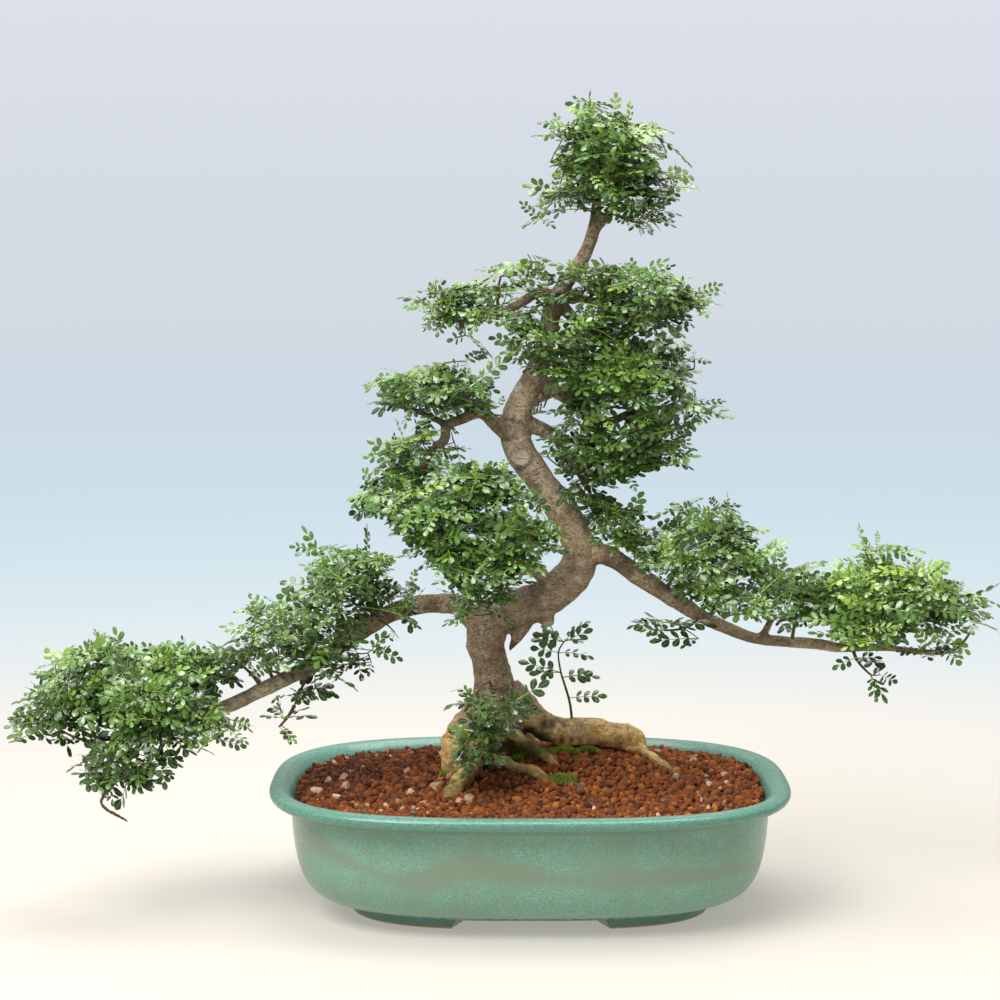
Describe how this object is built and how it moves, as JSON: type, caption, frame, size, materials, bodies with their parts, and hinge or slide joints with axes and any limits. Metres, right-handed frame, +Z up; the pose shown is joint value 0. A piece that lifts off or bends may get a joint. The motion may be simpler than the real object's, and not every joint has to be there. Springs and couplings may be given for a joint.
{
  "type": "chinese pepper bonsai",
  "caption": "Informal upright bonsai tree with leafy sprays of pinnate leaves, surface roots and granular soil, in a glazed oval pot with four feet and drain holes.",
  "frame": {"origin": "middle of the whole spread of the tree, on the plane that the pot's feet stand on", "axes": "+X to the right along the pot's length, +Y to the back, +Z up; the front is the side with the low drooping bough on the left"},
  "size_m": [0.7054, 0.274, 0.5732],
  "materials": {
    "glaze": "green celadon glaze with turquoise specks",
    "soil": "loose red-brown granules",
    "bark": "rough grey-brown bark",
    "leaf": "thin leaves with a light gloss",
    "screen": "black mesh"
  },
  "bodies": {
    "root": {"pot": "glaze", "soil": "soil", "drain_screen_left": "screen", "drain_screen_right": "screen", "trunk_and_branches": "bark", "sprig_at_base": "leaf", "sprout_on_root": "leaf", "spray_far_left_tip": "leaf", "spray_far_left_front": "leaf", "spray_far_left_top": "leaf", "spray_left_top": "leaf", "spray_left_forward": "leaf", "spray_left_drooping": "leaf", "spray_left_hanging": "leaf", "spray_left_inner": "leaf", "spray_bough_low": "leaf", "spray_bough_mid": "leaf", "spray_bough_forward": "leaf", "spray_knob_left": "leaf", "spray_knob_top": "leaf", "spray_knob_right": "leaf", "spray_under_left": "leaf", "spray_front_tip": "leaf", "spray_front_inner": "leaf", "spray_front_right": "leaf", "spray_front_left": "leaf", "spray_front_low": "leaf", "spray_mid_left_low": "leaf", "spray_mid_left": "leaf", "spray_shelf_tip": "leaf", "spray_shelf_top": "leaf", "spray_high_left_tip": "leaf", "spray_high_left_top": "leaf", "spray_crown_top": "leaf", "spray_crown_left": "leaf", "spray_crown_right": "leaf", "spray_crown_front": "leaf", "spray_crown_low": "leaf", "spray_crown_tip": "leaf", "spray_crown_back": "leaf", "spray_collar_top": "leaf", "spray_neck": "leaf", "spray_collar_tip": "leaf", "spray_collar_low": "leaf", "spray_shoulder_tip": "leaf", "spray_shoulder_top": "leaf", "spray_shoulder_front": "leaf", "spray_shoulder_low": "leaf", "spray_shoulder_back": "leaf", "spray_right_inner": "leaf", "spray_right_top": "leaf", "spray_right_outer": "leaf", "spray_right_forward": "leaf", "spray_right_hanging": "leaf", "spray_arm_left": "leaf", "spray_arm_top": "leaf", "spray_arm_high": "leaf", "spray_arm_tip": "leaf", "spray_arm_forward": "leaf", "spray_arm_hanging": "leaf"}
  },
  "joints": []
}
